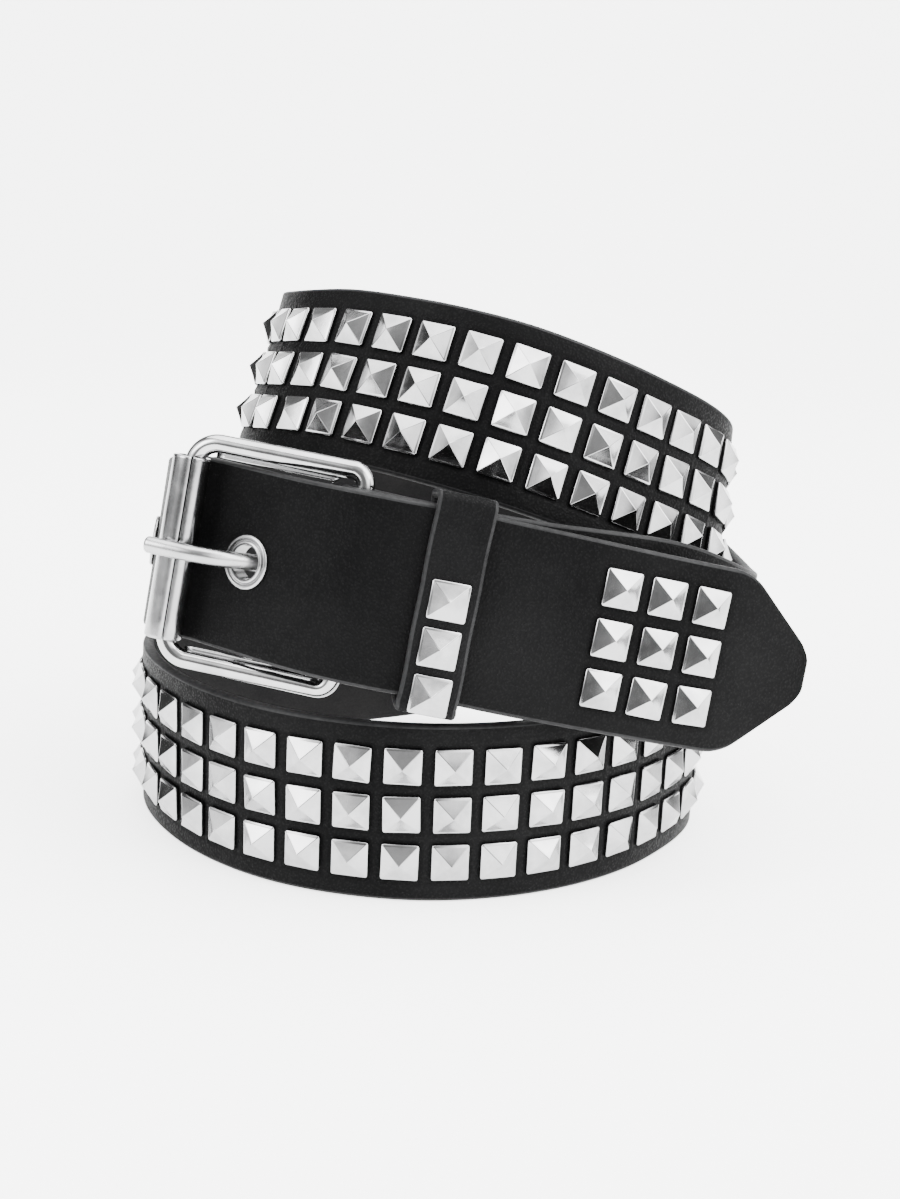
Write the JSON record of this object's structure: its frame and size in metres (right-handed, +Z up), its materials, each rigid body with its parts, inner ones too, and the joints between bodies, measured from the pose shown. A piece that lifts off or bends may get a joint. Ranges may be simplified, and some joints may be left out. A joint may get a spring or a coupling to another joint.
{
  "type": "studded belt",
  "caption": "Black leather belt covered in rows of square pyramid studs, with a roller buckle, fastened and coiled in stacked turns that stand on edge.",
  "frame": {"origin": "middle of the belt's footprint, on the surface it stands on", "axes": "+Z up from the surface, -Y towards the viewer of the fastened side, +X the way the free end points"},
  "size_m": [0.1484, 0.1366, 0.1197],
  "materials": {
    "leather": "fine pebbled black leather with bright steel studs set in it",
    "keeper_leather": "fine pebbled black leather",
    "buckle_metal": "polished nickel plate",
    "roller_metal": "bright rolled sheet",
    "eyelet_metal": "bright plated",
    "stud_metal": "bright plated"
  },
  "bodies": {
    "root": {"strap_bar_half": "leather", "strap_tip_half": "leather", "buckle_frame": "buckle_metal", "buckle_roller": "roller_metal", "buckle_prong": "buckle_metal", "keeper": "keeper_leather", "eyelet_1": "eyelet_metal", "eyelet_2": "eyelet_metal", "eyelet_3": "eyelet_metal", "eyelet_4": "eyelet_metal", "eyelet_5": "eyelet_metal", "keeper_stud_1": "stud_metal", "keeper_stud_2": "stud_metal", "keeper_stud_3": "stud_metal", "tip_stud_1": "stud_metal", "tip_stud_2": "stud_metal", "tip_stud_3": "stud_metal", "tip_stud_4": "stud_metal", "tip_stud_5": "stud_metal", "tip_stud_6": "stud_metal", "tip_stud_7": "stud_metal", "tip_stud_8": "stud_metal", "tip_stud_9": "stud_metal"}
  },
  "joints": []
}
